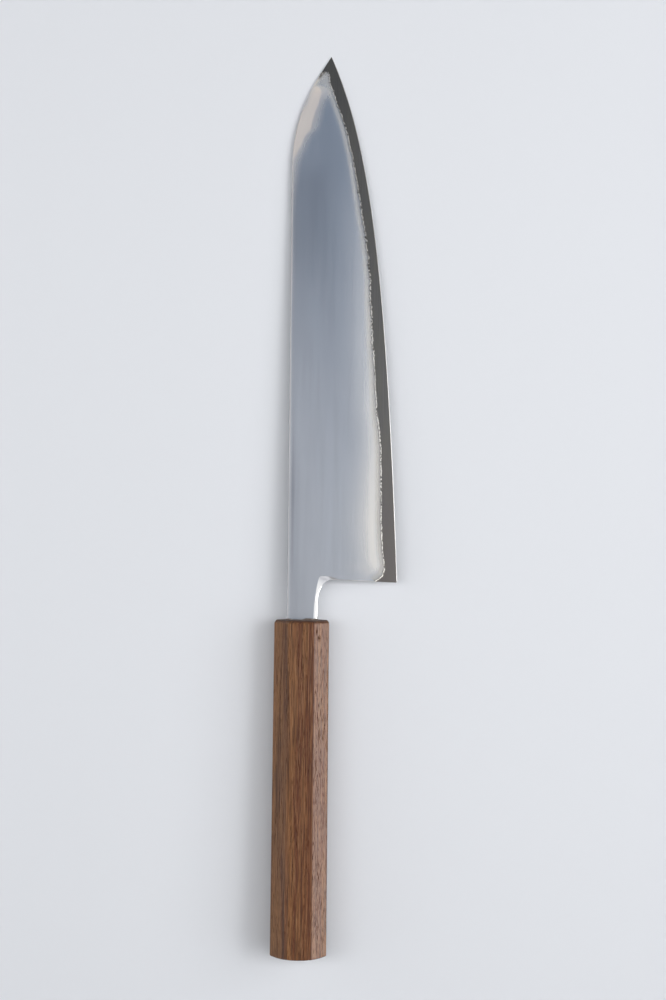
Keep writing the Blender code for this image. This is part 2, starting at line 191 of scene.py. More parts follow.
# Columns and rows.
HEEL_HEADS = (38.0, 48.0, 56.0)  # where the columns that stand on the choil, heel and corner end
HEAD_LAG = 90.0
CHOIL_HEAD_POWER = 1.5
TANG_COLUMNS = 15
NECK_COLUMNS = 26
CHOIL_COLUMNS = 60
HEEL_COLUMNS = 40
CORNER_COLUMNS = 64
LINE_COLUMNS = 1500
END_CURVE_COLUMNS = 32
END_TOP_COLUMNS = 16
END_HEAD_GAP = 0.02  # the last head stands this far behind the cladding's end
LINE_ROWS = (0.0, 0.12, 0.26, 0.42, 0.62, 0.85, 1.2, 1.7, 2.5, 3.6, 5.0)
FACET_ROWS = (0.0, 0.06, 0.13, 0.24, 0.4, 0.6, 0.76, 0.88, 0.95, 1.0, 1.05)
SPINE_ROWS = (0.0, 0.06, 0.14, 0.26, 0.42, 0.6, 0.8, 1.05, 1.4, 1.9, 2.6, 3.6)
MIDDLE_ROWS = 18
FOOT_ROWS_SHARE = 0.45  # a short column gives its foot and its head rows at most these shares
HEAD_ROWS_SHARE = 0.35
LIP_ROWS = 3
LIP_WIDTH = 0.45
LIP_DROP = 0.045
EDGE_ROWS = (0.0, 0.09, 0.18, 0.27, 0.4, 0.6, 0.9, 1.4, 2.0, 2.7, 3.4, 4.1, 4.8, 5.6, 6.6)
CORE_HEAD_ROWS = (0.0, 0.15, 0.4)
CORE_FOOT_ROWS_SHARE = 0.8
CORE_HEAD_ROWS_SHARE = 0.15
CORE_COLUMNS = 620
HEEL_CORNER = 0.5
HEEL_CORNER_COLUMNS = 7
LINE_STEP = 12  # every so many of the weld line's points serve for distances to it
FAR = 50.0  # stands for a distance too long to matter
ON_BACK = {"line_distance": FAR, "patch": -FAR}  # attributes on the flat back, where the others are 0
SHARP_ANGLE = 30.0  # edges that turn more stay sharp
CORE_SHARP_ANGLE = 8.0
FACE_SLOT, LINE_SLOT, SIDE_SLOT = 0, 1, 2  # places of a cladding's looks
BEVEL_SLOT = 1  # and of the core's second look
BEVEL_EDGE = 0.98  # faces below this share of the bevel's height belong to it


def mix(a, b, share):
    return a + (b - a) * share


def smooth(low, high, value):
    share = np.clip((value - low) / (high - low), 0.0, 1.0)
    return share * share * (3 - 2 * share)


def fade_out(low, high, value):
    return 1 - smooth(low, high, value)


def peak(value, middle, width):
    """A soft peak of height 1."""
    return np.exp(-(((value - middle) / width) ** 2))


def spread(first, last, count):
    """Even places after the first, up to the last."""
    return np.linspace(first, last, count + 1)[1:]


def bezier(a, b, c, d, t):
    """A cubic curve's points, for one number or many."""
    return (1 - t) ** 3 * a + 3 * t * (1 - t) ** 2 * b + 3 * t * t * (1 - t) * c + t**3 * d


EDGE_START_X = HEEL_X + EDGE_FLAT
EDGE_START_Y = -HEEL_DROP + EDGE_RISE * EDGE_FLAT
EDGE_SHARES = np.linspace(0.0, 1.0, 4001)
EDGE_PULL_XS = (EDGE_START_X + EDGE_PULL_HEEL, TIP_X - EDGE_PULL_TIP)
EDGE_PULL_YS = (EDGE_START_Y + EDGE_RISE * EDGE_PULL_HEEL, -TIP_DROP - TIP_SLOPE * EDGE_PULL_TIP)
EDGE_XS = bezier(EDGE_START_X, *EDGE_PULL_XS, TIP_X, EDGE_SHARES)
EDGE_YS = bezier(EDGE_START_Y, *EDGE_PULL_YS, -TIP_DROP, EDGE_SHARES)

SPINE_TURN = math.atan(SPINE_TIP_SLOPE)
SPINE_SPARE = SPINE_TIP_SLOPE * SPINE_FALL - SPINE_HEIGHT - TIP_DROP
SPINE_RADIUS = SPINE_SPARE / (SPINE_TIP_SLOPE * math.sin(SPINE_TURN) - 1 + math.cos(SPINE_TURN))
SPINE_BEND = SPINE_RADIUS * math.sin(SPINE_TURN)


def edge_y(x):
    straight = EDGE_START_Y + EDGE_RISE * (x - EDGE_START_X)
    return np.where(x <= EDGE_START_X, straight, np.interp(x, EDGE_XS, EDGE_YS))


def spine_y(x):
    """Level, then an arc, then straight to the tip."""
    run = np.clip(x - (TIP_X - SPINE_FALL), 0.0, SPINE_FALL)
    arc = SPINE_HEIGHT - SPINE_RADIUS + np.sqrt(SPINE_RADIUS**2 - np.minimum(run, SPINE_BEND) ** 2)
    straight = -TIP_DROP + SPINE_TIP_SLOPE * (SPINE_FALL - run)
    blade = np.where(run > SPINE_BEND, straight, arc)
    return np.where(x < 0, mix(SPINE_HEIGHT, TANG_END_HEIGHT / 2, -x / TANG_LENGTH), blade)


def neck_y(x):
    tang = mix(-NECK_DROP, -TANG_END_HEIGHT / 2, -x / TANG_LENGTH)
    return np.where(x < 0, tang, -NECK_DROP - NECK_FLARE * x / CHOIL_BACK)


def thickness(x):
    share = np.clip((x - HEEL_X) / (TIP_X - HEEL_X), 0.0, 1.0)
    blade = mix(NECK_THICKNESS, TIP_THICKNESS, share**TAPER_POWER)
    return np.where(x < 0, mix(NECK_THICKNESS, TANG_END_THICKNESS, -x / TANG_LENGTH), blade)


def core_half(x):
    return CORE_THICKNESS / 2 * np.sqrt(thickness(x) / NECK_THICKNESS)


def band_height(x):
    """Height of the bare core above the edge."""
    places = STRAY_START + STRAY_STEP * np.arange(len(STRAYS))
    height = BAND_HEIGHT + np.interp(x, places, STRAYS)
    for swing, length, start in BAND_WAVES:
        height += swing * np.sin(2 * np.pi * (x - start) / length)
    return height


def band_y(x):
    """The weld line along the blade, before its ends are rounded and it is jagged."""
    return edge_y(x) + band_height(x)


CHOIL_TOP = float(neck_y(CHOIL_BACK))
CHOIL_FOOT = CHOIL_TOP - CHOIL_HEIGHT
CLAD_HEEL_Y = float(band_y(HEEL_X)) + CLAD_HEEL_RISE


def choil_points():
    """The curve from the neck's underside out to the heel line."""
    shares = spread(1.0, 0.0, CHOIL_COLUMNS)
    xs = bezier(CHOIL_X, CHOIL_X, CHOIL_BACK + CHOIL_LENGTH * CHOIL_PULL_NECK, CHOIL_BACK, shares)
    ys = bezier(CHOIL_FOOT, CHOIL_FOOT + CHOIL_HEIGHT * CHOIL_PULL_HEEL, CHOIL_TOP, CHOIL_TOP, shares)
    return np.column_stack([xs, ys])


def heel_x(y):
    """The heel line leans towards the tip as it rises."""
    return HEEL_X + HEEL_LEAN * (y + HEEL_DROP) / (CHOIL_FOOT + HEEL_DROP)


def distance_to(points, line):
    """Distance of each point to a polyline."""
    best = np.full(len(points), 1e9)
    for a, b in zip(line[:-1], line[1:]):
        along = b - a
        share = np.clip(((points - a) @ along) / max(along @ along, 1e-9), 0.0, 1.0)
        best = np.minimum(best, np.linalg.norm(points - a - share[:, None] * along, axis=1))
    return best


def reach_to(line, feet, heads):
    """How far up each column crosses a polyline, or 0 where it doesn't."""
    reach = np.zeros(len(feet))
    along = heads - feet
    line = np.array(line)
    for a, b in zip(line[:-1], line[1:]):
        side = b - a
        offset = a - feet
        turn = along[:, 0] * side[1] - along[:, 1] * side[0]
        share = (offset[:, 0] * side[1] - offset[:, 1] * side[0]) / turn
        place = (offset[:, 0] * along[:, 1] - offset[:, 1] * along[:, 0]) / turn
        hit = (share > 0) & (share < 1) & (place >= 0) & (place <= 1)
        reach[hit] = (share * np.linalg.norm(along, axis=1))[hit]
    return reach


def back_columns(heel_end):
    """Feet and heads of the columns behind the heel: tang, neck, choil and heel line."""
    tang = np.linspace(-TANG_LENGTH, 0.0, TANG_COLUMNS + 1)[:-1]
    neck = np.linspace(0.0, CHOIL_BACK, NECK_COLUMNS)
    straight = np.concatenate([tang, neck])
    choil = choil_points()
    heel_ys = spread(choil[-1][1], heel_end, HEEL_COLUMNS)
    heel = np.column_stack([heel_x(heel_ys), heel_ys])
    feet = [np.column_stack([straight, neck_y(straight)]), choil, heel]
    choil_lead = spread(0.0, 1.0, len(choil)) ** CHOIL_HEAD_POWER
    choil_heads = CHOIL_BACK + (HEEL_HEADS[0] - CHOIL_BACK) * choil_lead
    return feet, [straight, choil_heads, spread(*HEEL_HEADS[:2], len(heel))]


def lagging_heads(xs):
    """Heads ahead of their feet by the heel, and right above them further on."""
    ease = np.clip((xs - xs[0]) / HEAD_LAG, 0.0, 1.0)
    return xs + (HEEL_HEADS[2] - xs[0]) * (1 - ease) ** 2


def corner_line():
    """The rounded heel corner of the cladding."""
    angles = spread(0.0, math.pi / 2, CORNER_COLUMNS)
    xs = mix(heel_x(CLAD_HEEL_Y), CLAD_START_X, 1 - np.cos(angles))
    xs += CORNER_CUT * np.sin(2 * angles) * (1 - angles / (math.pi / 2))
    return np.column_stack([xs, band_y(xs) + CLAD_HEEL_RISE * (1 - np.sin(angles))])


def end_line():
    """The cladding's blunt end, from the weld line round to the spine."""
    start = np.array([CLAD_BEND_X, band_y(CLAD_BEND_X)])
    top, spine = np.array(CLAD_END_TOP), np.array(CLAD_END_SPINE)
    pulls = [np.array(pull) for pull in CLAD_END_PULLS]
    curve = bezier(start, *pulls, top, spread(0.0, 1.0, END_CURVE_COLUMNS)[:, None])
    return np.vstack([curve, mix(top, spine, spread(0.0, 1.0, END_TOP_COLUMNS)[:, None])])


def jags(feet, first, seed):
    """How far each foot from the first on strays across the weld line."""
    steps = np.linalg.norm(np.diff(feet, axis=0), axis=1)
    along = np.concatenate([[0.0], np.cumsum(steps)])
    wander = np.zeros(len(feet))
    for swing, length in JAGS:
        wander += [swing * 2 * noise.noise((at / length, seed, swing * JAGS_APART)) for at in along]
    ends = smooth(along[first], along[first] + JAGS_FADE, along)
    ends *= fade_out(along[-1] - JAGS_FADE, along[-1], along)
    return wander * ends * mix(JAGS_BY_HEEL, 1.0, smooth(*JAGS_GROW, feet[:, 0]))


def cladding_columns(seed):
    """Feet and heads of the cladding's columns, the smooth weld line, and where it begins."""
    feet, heads = back_columns(CLAD_HEEL_Y)
    first = sum(len(part) for part in feet)
    run = spread(CLAD_START_X, CLAD_BEND_X, LINE_COLUMNS)
    feet += [corner_line(), np.column_stack([run, band_y(run)]), end_line()]
    heads += [spread(*HEEL_HEADS[1:], CORNER_COLUMNS), lagging_heads(run)]
    heads.append(spread(CLAD_BEND_X, CLAD_END_SPINE[0] - END_HEAD_GAP, len(feet[-1])))
    feet = np.vstack(feet)
    heads = np.concatenate(heads)
    tangent = np.gradient(feet, axis=0)
    normal = np.column_stack([-tangent[:, 1], tangent[:, 0]])
    normal /= np.linalg.norm(normal, axis=1)[:, None]
    weld_line = feet[first:]
    feet = feet + normal * jags(feet, first, seed)[:, None]
    return feet, np.column_stack([heads, spine_y(heads)]), weld_line, first


def row_distances(lengths, reach):
    """Distances up each column: close at both ends, and one on the facet's line."""
    low = np.tile(LINE_ROWS, (len(lengths), 1))
    low[reach > 0] = reach[reach > 0, None] * np.array(FACET_ROWS)
    low *= np.minimum(1.0, FOOT_ROWS_SHARE * lengths / low[:, -1])[:, None]
    high = np.tile(SPINE_ROWS[::-1], (len(lengths), 1))
    high = lengths[:, None] - high * np.minimum(1.0, HEAD_ROWS_SHARE * lengths / SPINE_ROWS[-1])[:, None]
    shares = np.linspace(0.0, 1.0, MIDDLE_ROWS + 2)[1:-1]
    between = low[:, -1:] + (high[:, :1] - low[:, -1:]) * shares
    return np.hstack([low, between, high])


def facet_drop(distances, reach, fade, hollow, softness):
    """How far the neck's facet lowers the face."""
    share = np.clip(distances / np.maximum(reach, 1e-6)[:, None], 0.0, 1.0)
    facet = FACET_DEPTH * (1 - share ** hollow[:, None]) ** softness[:, None] * fade[:, None]
    return np.where(reach[:, None] > 0, facet, 0.0)


def rim_drop(distances, weight):
    """How far the eased edge of the neck, choil and heel lies below the face."""
    return RIM_DROP * weight[:, None] * np.clip(1 - distances / RIM, 0.0, 1.0) ** 2


def ground_half(x, y, to_line):
    """Half the thickness at a point of the ground face, before any edge is eased."""
    low, high = band_y(x), spine_y(x)
    foot = core_half(x) + WELD_GAP + CLAD_FOOT
    share = np.clip((y - low) / np.maximum(high - low, LEAST_FACE), 0.0, 1.0)
    half = mix(foot, thickness(x) / 2, 1 - (1 - share) ** GRIND_POWER)
    place = to_line / ROLL_PLACE
    return half - ROLL_DEPTH * place * np.exp(1 - place)


def spine_drop(x, below):
    """How far the spine's chamfer, roll-off and rounded corner lie under the face."""
    chamfer = SPINE_SLOPE * np.clip(np.interp(x, CHAMFER_PLACES, CHAMFER_WIDTHS) - below, 0.0, None)
    near = np.clip(1 - below / SPINE_EASE_WIDTH, 0.0, 1.0)
    rolled = 0.5 * SPINE_EASE * SPINE_EASE_WIDTH * near**2
    chamfer = chamfer + rolled * smooth(*SPINE_EASE_START, x)
    into = np.clip(SPINE_ROUND - below, 0.0, SPINE_ROUND)
    return chamfer + SPINE_ROUND - np.sqrt(SPINE_ROUND**2 - into**2)


def haze_and_highlight_at(x, y, to_line):
    """Painted highlight on a hazier finish: the soft pale band by the weld line, and a trace at the heel.
    """
    tail, width, crest, rise = (np.interp(x, HAZE_PLACES, values) for values in HAZE_SHAPES)
    ahead = smooth(*CREST_TURN, x)
    offset = mix(*CREST_OFFSETS, ahead) - CREST_SHIFT * smooth(*CREST_SHIFT_TURN, x)
    band = tail * peak(to_line, 0.0, width)
    band += crest * peak(to_line, offset, mix(*CREST_WIDTHS, ahead))
    band *= 1 - HAZE_CLEAR * peak(to_line, 0.0, rise)
    band = np.maximum(band, TIP_HAZE * smooth(*TIP_HAZE_TURN, x))
    from_heel = x - heel_x(y)
    band *= mix(HAZE_AT_HEEL, 1.0, smooth(*HAZE_FROM_HEEL, from_heel))
    trace = HEEL_TRACE * peak(from_heel, 0.0, HEEL_TRACE_WIDTH) * smooth(*HEEL_TRACE_TURN, y)
    return np.clip(band + trace * (1 - band), 0.0, 1.0)


def spine_shade_at(x, below):
    """Painted shade: the darker strip beside the spine, and the fainter shades beside it."""
    shade = peak(below, *SPINE_SHADE_STRIP) * np.interp(x, SPINE_SHADE_PLACES, SPINE_SHADE_LEVELS)
    shade += NEAR_SHADE * fade_out(*NEAR_END, x) * fade_out(*NEAR_DEPTH, below)
    shade += SECOND_SHADE * fade_out(*SECOND_END, x) * peak(below, *SECOND_STRIP)
    far_half = smooth(*FAR_START, x) * fade_out(*FAR_END, x)
    return shade + FAR_SHADE * far_half * fade_out(*FAR_DEPTH, below)


def worn_at(x, below):
    """How far the cladding is rubbed through, beside its blunt end."""
    beside = smooth(*WORN_START, x) * fade_out(*WORN_DEPTH, below)
    return np.clip(beside + WORN_END * smooth(*WORN_END_START, x), 0.0, 1.0)


def patch_at(x, below):
    """How far inside the tip's pale patch a point lies."""
    inside = np.interp(x, PATCH_PLACES, PATCH_REACHES) - below
    return np.minimum(inside, below - PATCH_TOP * smooth(*PATCH_TOP_TURN, x))


def add_object(name, data):
    made = bpy.data.objects.new(name, data)
    bpy.context.scene.collection.objects.link(made)
    return made


def make_piece(name, points, faces, slots, looks, attributes, side=1, sharp=SHARP_ANGLE):
    """A mesh object from points in the knife's coordinates, mirrored for the underside."""
    points = np.array(points, float)
    points[:, 2] *= side
    world = points * MM + np.array(ORIGIN)
    mesh = bpy.data.meshes.new(name)
    order = faces if side > 0 else [face[::-1] for face in faces]
    mesh.from_pydata(world.tolist(), [], order)
    mesh.update()
    for look in looks:
        mesh.materials.append(look)
    mesh.polygons.foreach_set("material_index", slots)
    for key, values in attributes.items():
        layer = mesh.attributes.new(key, "FLOAT", "POINT")
        layer.data.foreach_set("value", np.asarray(values, np.float32))
    mesh.shade_smooth()
    mesh.set_sharp_from_angle(angle=math.radians(sharp))
    return add_object(name, mesh)


def sheet_points(feet, heads, distances):
    """A sheet's points, column by column, at their distances up each column."""
    lengths = np.linalg.norm(heads - feet, axis=1)
    grid = feet[:, None, :] + (distances / lengths[:, None])[:, :, None] * (heads - feet)[:, None, :]
    return grid.reshape(-1, 2)


def sheet_faces(columns, rows, first):
    """Faces of a cladding's front, flat back and rims, with their material slots."""
    faces, slots = [], []
    base = columns * rows
    for i in range(columns - 1):
        for j in range(rows - 1):
            a, b = i * rows + j, (i + 1) * rows + j
            faces.append((a, b, b + 1, a + 1))
            slots.append(LINE_SLOT if i >= first and j < LIP_ROWS else FACE_SLOT)
        foot, head = base + i, base + columns + i
        faces.append((foot, head, head + 1, foot + 1))
        faces.append((foot, foot + 1, (i + 1) * rows, i * rows))
        faces.append((head + 1, head, (i + 1) * rows - 1, (i + 2) * rows - 1))
        slots += [FACE_SLOT, LINE_SLOT if i >= first else SIDE_SLOT, SIDE_SLOT]
    start = [base + columns, base] + list(range(rows))
    last = (columns - 1) * rows
    end = [base + columns - 1, base + 2 * columns - 1] + list(range(last + rows - 1, last - 1, -1))
    faces += [tuple(start), tuple(end)]
    slots += [FACE_SLOT, FACE_SLOT]
    return faces, slots


def back_weights(feet, first):
    """Each column's share of the facet, its hollow and softness, and the edge's ease."""
    column = np.arange(len(feet))
    choil_end = first - HEEL_COLUMNS
    share = np.clip((column - (choil_end - CHOIL_COLUMNS)) / CHOIL_COLUMNS, 0.0, 1.0)
    beyond = np.clip((column - choil_end) / HEEL_COLUMNS, 0.0, 1.0)
    fade = np.ones(len(feet))
    for lost, start, end in FACET_FADES:
        fade *= 1 - lost * smooth(start, end, share)
    fade *= fade_out(0.0, FACET_END, beyond)
    hollow = mix(*FACET_HOLLOWS, smooth(*FACET_TURN, share))
    softness = mix(*FACET_SOFTNESS, smooth(*FACET_CRISP, feet[:, 0]))
    rim_lost, *rim_ends = RIM_FADE
    rim = np.where(column < first, 1 - rim_lost * smooth(*rim_ends, share), 0.0)
    return fade, hollow, softness, rim


def lip_drop(line_distance):
    """How far the face rolls off at the weld line."""
    return LIP_DROP * np.clip(1 - line_distance / LIP_WIDTH, 0.0, 1.0) ** 2


def patch_drop(patch):
    """How far the tip's pale patch leans away from the face."""
    return PATCH_TILT * PATCH_SOFT * np.logaddexp(0.0, patch / PATCH_SOFT)


def build_cladding(name, side, seed, looks):
    feet, heads, weld_line, first = cladding_columns(seed)
    fade, hollow, softness, rim = back_weights(feet, first)
    reach = np.where(fade > 0.0, reach_to(FACET_LINE, feet, heads), 0.0)
    distances = row_distances(np.linalg.norm(heads - feet, axis=1), reach)
    columns, rows = distances.shape
    flat = sheet_points(feet, heads, distances)
    x, y = flat[:, 0], flat[:, 1]
    to_line = distance_to(flat, weld_line[::LINE_STEP])
    below = spine_y(x) - y
    patch = patch_at(x, below)
    line_distance = np.where(np.arange(columns)[:, None] >= first, distances, FAR).reshape(-1)
    half = ground_half(x, y, to_line)
    half -= facet_drop(distances, reach, fade, hollow, softness).reshape(-1)
    half -= rim_drop(distances, rim).reshape(-1)
    half -= lip_drop(line_distance)
    half -= patch_drop(patch)
    half -= spine_drop(x, np.clip(below, 0.0, None))
    half = np.maximum(half, core_half(x) + WELD_GAP + THINNEST)
    ends = np.vstack([feet, heads])
    back = np.column_stack([ends, core_half(ends[:, 0]) + WELD_GAP])
    attributes = {
        "line_distance": line_distance,
        "haze_and_highlight": haze_and_highlight_at(x, y, to_line),
        "spine_shade": spine_shade_at(x, below),
        "worn": worn_at(x, below),
        "patch": patch,
        "ahead": x / TIP_X,
    }
    for key, values in attributes.items():
        attributes[key] = np.concatenate([values, np.full(len(back), ON_BACK.get(key, 0.0))])
    faces, slots = sheet_faces(columns, rows, first)
    points = np.vstack([np.column_stack([flat, half]), back])
    return make_piece(name, points, faces, slots, looks, attributes, side)


def core_columns():
    """Feet and heads of the core's columns, round the heel's corner and along the edge."""
    heel_end = -HEEL_DROP + HEEL_CORNER
    feet, heads = back_columns(heel_end)
    angles = spread(0.0, math.pi / 2, HEEL_CORNER_COLUMNS)
    centre_x = heel_x(heel_end) + HEEL_CORNER
    corner_x = centre_x - HEEL_CORNER * np.cos(angles)
    feet.append(np.column_stack([corner_x, edge_y(corner_x) + HEEL_CORNER * (1 - np.sin(angles))]))
    heads.append(spread(*HEEL_HEADS[1:], len(angles)))
    run = spread(centre_x, TIP_X - TIP_LAND, CORE_COLUMNS)
    feet.append(np.column_stack([run, edge_y(run)]))
    heads.append(lagging_heads(run))
    feet = np.vstack(feet)
    heads = np.concatenate(heads)
    return feet, np.column_stack([heads, spine_y(heads)])


def core_face(x, y):
    """Half the core's thickness: the bevel, the thin flank, then the flat middle layer."""
    above = y - edge_y(x)
    reach = np.maximum(spine_y(x) - edge_y(x), LEAST_REACH)
    bevel = np.minimum(BEVEL_HEIGHT, BEVEL_SHARE * reach)
    flank = np.minimum(band_height(x) - FLANK_END, FLANK_SHARE * reach)
    on_bevel = mix(EDGE_LAND / 2, SHOULDER / 2, np.clip(above / bevel, 0.0, 1.0))
    share = np.clip((above - bevel) / (flank - bevel), 0.0, 1.0)
    swell = mix(share, np.sin(share * math.pi / 2), FLANK_SWELL)
    return np.where(above < bevel, on_bevel, mix(SHOULDER / 2, core_half(x), swell))


def core_rows(lengths):
    """Distances up the core's columns: many in the bare band, few under the cladding."""
    low = np.outer(np.minimum(1.0, CORE_FOOT_ROWS_SHARE * lengths / EDGE_ROWS[-1]), EDGE_ROWS)
    high = np.minimum(1.0, CORE_HEAD_ROWS_SHARE * lengths / CORE_HEAD_ROWS[-1])
    return np.hstack([low, lengths[:, None] - np.outer(high, CORE_HEAD_ROWS[::-1])])


def core_faces(columns, rows, above):
    """Faces of the core's two sides and its rims, with their material slots."""
    base = columns * rows
    faces, slots = [], []
    for i in range(columns - 1):
        for j in range(rows - 1):
            a, b = i * rows + j, (i + 1) * rows + j
            middle = (above[a] + above[b] + above[a + 1] + above[b + 1]) / 4
            slot = BEVEL_SLOT if middle < BEVEL_HEIGHT * BEVEL_EDGE else FACE_SLOT
            faces.append((a, b, b + 1, a + 1))
            faces.append((base + a, base + a + 1, base + b + 1, base + b))
            slots += [slot, slot]
        a, b = i * rows, (i + 1) * rows
        faces.append((base + a, base + b, b, a))
        faces.append((a + rows - 1, b + rows - 1, base + b + rows - 1, base + a + rows - 1))
        slots += [FACE_SLOT, FACE_SLOT]
    last = (columns - 1) * rows
    faces.append((*range(rows), *range(base + rows - 1, base - 1, -1)))
    faces.append((*range(last + rows - 1, last - 1, -1), *range(base + last, base + last + rows)))
    slots += [FACE_SLOT, FACE_SLOT]
    return faces, slots


def build_core(looks):
    feet, heads = core_columns()
    distances = core_rows(np.linalg.norm(heads - feet, axis=1))
    columns, rows = distances.shape
    flat = sheet_points(feet, heads, distances)
    x, y = flat[:, 0], flat[:, 1]
    half = core_face(x, y)
    faces, slots = core_faces(columns, rows, y - edge_y(x))
    points = np.vstack([np.column_stack([flat, half]), np.column_stack([flat, -half])])
    attributes = {"ahead": np.tile(x / TIP_X, 2)}
    return make_piece("core_blade", points, faces, slots, looks, attributes, sharp=CORE_SHARP_ANGLE)


# Bead of sealant round the tang, in the handle's mouth.
BEAD_COUNT = 200
BEAD_DEPTH = 1.0
BEAD_PROUD = 0.45
BEAD_SPILL = 0.75
BEAD_WAVES = ((0.30, 2.6), (0.16, 1.1))
BEAD_WAVES_APART = 20
BEAD_LUMP = (-2.6, 1.9, 0.55)  # height of its middle, half its length, and how far it stands out
BEAD_SPREAD = (0.7, 0.5)  # how much of the waves, and of the lump, spreads over the wood
BEAD_ARC = 6
BEAD_ROUND = (0.8, 1.2)  # powers that make the bead's arc fuller
BEAD_SEAT = 0.02  # it keeps this far from the wood and from the tang
BEAD_ROOT = 0.03
BEAD_BACK = ((0.01, 0.72), (-BEAD_DEPTH, 0.70))  # the last points, at the mouth and down in it
TANG_CORNER = 0.5
TANG_CORNER_STEPS = 8


def tang_outline(count):
    """Points and outward directions round the tang, where it enters the handle."""
    low, high = TANG_CORNER - NECK_DROP, SPINE_HEIGHT - TANG_CORNER
    half = NECK_THICKNESS / 2 - TANG_CORNER
    centres = ((high, half), (low, half), (low, -half), (high, -half))
    path = []
    for index, (y, z) in enumerate(centres):
        for step in range(TANG_CORNER_STEPS + 1):
            angle = math.pi / 2 * (index + step / TANG_CORNER_STEPS)
            out = (math.cos(angle), math.sin(angle))
            path.append((y + TANG_CORNER * out[0], z + TANG_CORNER * out[1], *out))
    path.append(path[0])
    path = np.array(path)
    along = np.concatenate([[0.0], np.cumsum(np.linalg.norm(np.diff(path[:, :2], axis=0), axis=1))])
    places = np.linspace(0.0, along[-1], count, endpoint=False)
    return np.column_stack([np.interp(places, along, path[:, column]) for column in range(4)])


def bead_size(y, z):
    """How far the bead stands out of the handle, and spreads over the wood."""
    wobble = 0.0
    for swing, length in BEAD_WAVES:
        wobble += swing * noise.noise((y / length, z / length, swing * BEAD_WAVES_APART))
    middle, half, rise = BEAD_LUMP
    lump = rise * peak(y, middle, half) if z > 0 else 0.0
    return BEAD_PROUD + wobble + lump, BEAD_SPILL + wobble * BEAD_SPREAD[0] + lump * BEAD_SPREAD[1]


def bead_ring(proud, spill):
    """One cut through the bead: its points' distances ahead of the handle and from the tang."""
    ring = [(-BEAD_DEPTH, BEAD_ROOT)]
    for step in range(BEAD_ARC + 1):
        angle = math.pi / 2 * step / BEAD_ARC
        ahead = proud * math.cos(angle) ** BEAD_ROUND[0]
        ring.append((max(ahead, BEAD_SEAT), BEAD_SEAT + spill * math.sin(angle) ** BEAD_ROUND[1]))
    return ring + list(BEAD_BACK)


def build_bead(look):
    points, faces = [], []
    for y, z, out_y, out_z in tang_outline(BEAD_COUNT):
        ring = bead_ring(*bead_size(y, z))
        points += [(x, y + out_y * out, z + out_z * out) for x, out in ring]
    rows = len(ring)
    for i in range(BEAD_COUNT):
        j = (i + 1) % BEAD_COUNT
        for k in range(rows):
            after = (k + 1) % rows
            faces.append((i * rows + k, i * rows + after, j * rows + after, j * rows + k))
    return make_piece("mouth_bead", points, faces, [0] * len(faces), [look], {})


class Nodes:
    """Short forms for building a material's or a world's nodes."""

    def __init__(self, tree):
        self.tree = tree
        self.shader = tree.nodes.get("Principled BSDF")

    def add(self, kind, **values):
        node = self.tree.nodes.new("ShaderNode" + kind)
        for key, value in values.items():
            setattr(node, key, value)
        return node

    def link(self, output, target):
        self.tree.links.new(output, target)

    def put(self, value, socket):
        """A number, a colour or a link goes into the socket."""
        if isinstance(value, (int, float)):
            socket.default_value = value
        elif isinstance(value, tuple):
            socket.default_value = (*value, 1.0)
        else:
            self.link(value, socket)

    def fill(self, node, **values):
        """Values or links go into the node's sockets, named with underscores for spaces."""
        for key, value in values.items():
            self.put(value, node.inputs[key.replace("_", " ")])
        return node.outputs[0]

    def give(self, **values):
        self.fill(self.shader, **values)

    def place(self, scale, offset=(0.0, 0.0, 0.0)):
        """The knife's coordinates, divided by a length in millimetres along each axis."""
        coordinates = self.add("TexCoord")
        mapping = self.add("Mapping")
        mapping.inputs["Scale"].default_value = [1.0 / (MM * each) for each in scale]
        mapping.inputs["Location"].default_value = offset
        self.link(coordinates.outputs["Object"], mapping.inputs["Vector"])
        return mapping.outputs["Vector"]

    def noise(self, scale, detail=2.0, roughness=0.5, distortion=0.0, offset=(0.0, 0.0, 0.0)):
        """Noise whose grains have these sizes in millimetres."""
        made = self.add("TexNoise")
        self.fill(made, Scale=1.0, Detail=detail, Roughness=roughness, Distortion=distortion)
        return self.fill(made, Vector=self.place(scale, offset))

    def math(self, operation, first, second=0.0, clamp=False):
        made = self.add("Math", operation=operation, use_clamp=clamp)
        self.put(first, made.inputs[0])
        self.put(second, made.inputs[1])
        return made.outputs[0]

    times = partialmethod(math, "MULTIPLY")
    plus = partialmethod(math, "ADD")
    minus = partialmethod(math, "SUBTRACT")
    size = partialmethod(math, "ABSOLUTE")
    larger = partialmethod(math, "MAXIMUM")

    def parts(self, vector):
        """The vector's three components."""
        made = self.add("SeparateXYZ")
        self.link(vector, made.inputs["Vector"])
        return made.outputs

    def ramp(self, value, low, high, to_low=0.0, to_high=1.0):
        """A soft step of the value from one limit to the other."""
        made = self.add("MapRange", interpolation_type="SMOOTHSTEP")
        return self.fill(made, Value=value, From_Min=low, From_Max=high, To_Min=to_low, To_Max=to_high)

    def blend(self, share, first, second, kind="MIX"):
        made = self.add("Mix", data_type="RGBA", blend_type=kind)
        self.put(share, made.inputs[0])
        self.put(first, made.inputs[6])
        self.put(second, made.inputs[7])
        return made.outputs[2]

    def attribute(self, name):
        return self.add("Attribute", attribute_name=name).outputs["Fac"]

    def along(self, *limits):
        """A ramp along the blade, where the handle's front is 0 and the tip is 1."""
        return self.ramp(self.attribute("ahead"), *limits)

    def bump(self, height, distance, strength=1.0, under=None):
        """Dents as deep as the distance in millimetres, over an earlier bump."""
        made = self.add("Bump")
        if under is not None:
            self.link(under, made.inputs["Normal"])
        return self.fill(made, Height=height, Distance=distance * MM, Strength=strength)


def new_look(name):
    material = bpy.data.materials.new(name)
    material.use_nodes = True
    return material, Nodes(material.node_tree)


